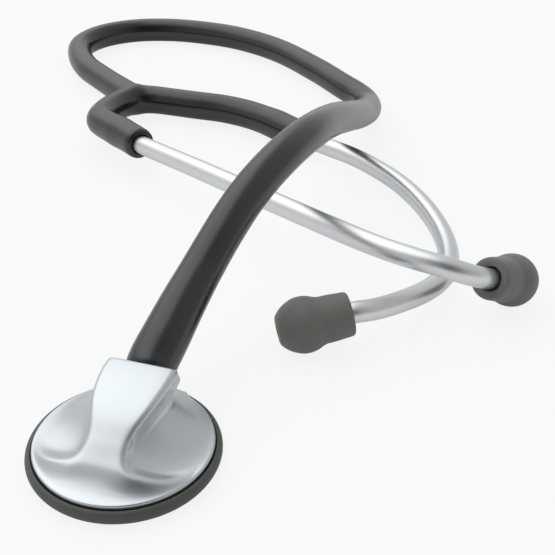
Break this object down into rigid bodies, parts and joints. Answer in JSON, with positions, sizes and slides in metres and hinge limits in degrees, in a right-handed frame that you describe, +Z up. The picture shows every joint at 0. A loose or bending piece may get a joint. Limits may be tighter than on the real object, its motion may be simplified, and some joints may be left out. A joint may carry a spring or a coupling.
{
  "type": "stethoscope",
  "caption": "Single-head acoustic stethoscope, lying with its ear tubes crossed and its tubing in a loop.",
  "frame": {"origin": "on the table, under the middle of the rigid pieces (chestpiece, yoke and ear tubes)", "axes": "+Z up from the table, +Y from the chestpiece towards the yoke, +X to the right as seen from the chestpiece's side"},
  "size_m": [0.1774, 0.3295, 0.0468],
  "materials": {
    "chestpiece_head": "satin machined steel",
    "diaphragm_rim": "soft dark grey, matt",
    "diaphragm": "thin stiff sheet, satin",
    "hose_stem": "turned",
    "tubing_cuff": "glossy black",
    "main_tubing": "glossy black",
    "yoke_crown": "glossy black",
    "yoke_spring": "rolled spring steel",
    "yoke_arm_left": "glossy black",
    "yoke_arm_right": "glossy black",
    "spring_tongue_left": "rolled spring steel",
    "spring_tongue_right": "rolled spring steel",
    "tube_ferrule_left": "turned",
    "tube_ferrule_right": "turned",
    "ear_tube_left": "satin anodised",
    "ear_tube_right": "satin anodised",
    "ear_tip_screw_left": "turned",
    "ear_tip_screw_right": "turned",
    "ear_tip_core_left": "moulded, threaded inside",
    "ear_tip_core_right": "moulded, threaded inside",
    "ear_tip_left": "soft warm grey, satin",
    "ear_tip_right": "soft warm grey, satin"
  },
  "bodies": {
    "base": {"chestpiece_head": "chestpiece_head", "diaphragm_rim": "diaphragm_rim", "hose_stem": "hose_stem", "tubing_cuff": "tubing_cuff", "main_tubing": "main_tubing", "yoke_crown": "yoke_crown", "yoke_spring": "yoke_spring"},
    "diaphragm_sheet": {"diaphragm": "diaphragm"},
    "left_ear_tube": {"yoke_arm_left": "yoke_arm_left", "spring_tongue_left": "spring_tongue_left", "tube_ferrule_left": "tube_ferrule_left", "ear_tube_left": "ear_tube_left", "ear_tip_screw_left": "ear_tip_screw_left", "ear_tip_core_left": "ear_tip_core_left", "ear_tip_left": "ear_tip_left"},
    "right_ear_tube": {"yoke_arm_right": "yoke_arm_right", "spring_tongue_right": "spring_tongue_right", "tube_ferrule_right": "tube_ferrule_right", "ear_tube_right": "ear_tube_right", "ear_tip_screw_right": "ear_tip_screw_right", "ear_tip_core_right": "ear_tip_core_right", "ear_tip_right": "ear_tip_right"}
  },
  "joints": [
    {"name": "diaphragm_float", "type": "slide", "parent": "base", "child": "diaphragm_sheet", "axis": [0, 0, 1], "range_m": [0, 0.0003], "stiffness_N_per_m": 800},
    {"name": "left_tube_opening", "type": "hinge", "parent": "base", "child": "left_ear_tube", "pos_m": [-0.06847, 0.08006, 0.0086], "axis": [0, 0, -1], "range_deg": [0, 15], "stiffness_Nm_per_rad": 1.7},
    {"name": "right_tube_opening", "type": "hinge", "parent": "base", "child": "right_ear_tube", "pos_m": [-0.03427, 0.09886, 0.0063], "axis": [0.3118, 0.0938, 0.9455], "range_deg": [0, 28], "stiffness_Nm_per_rad": 1.7}
  ]
}
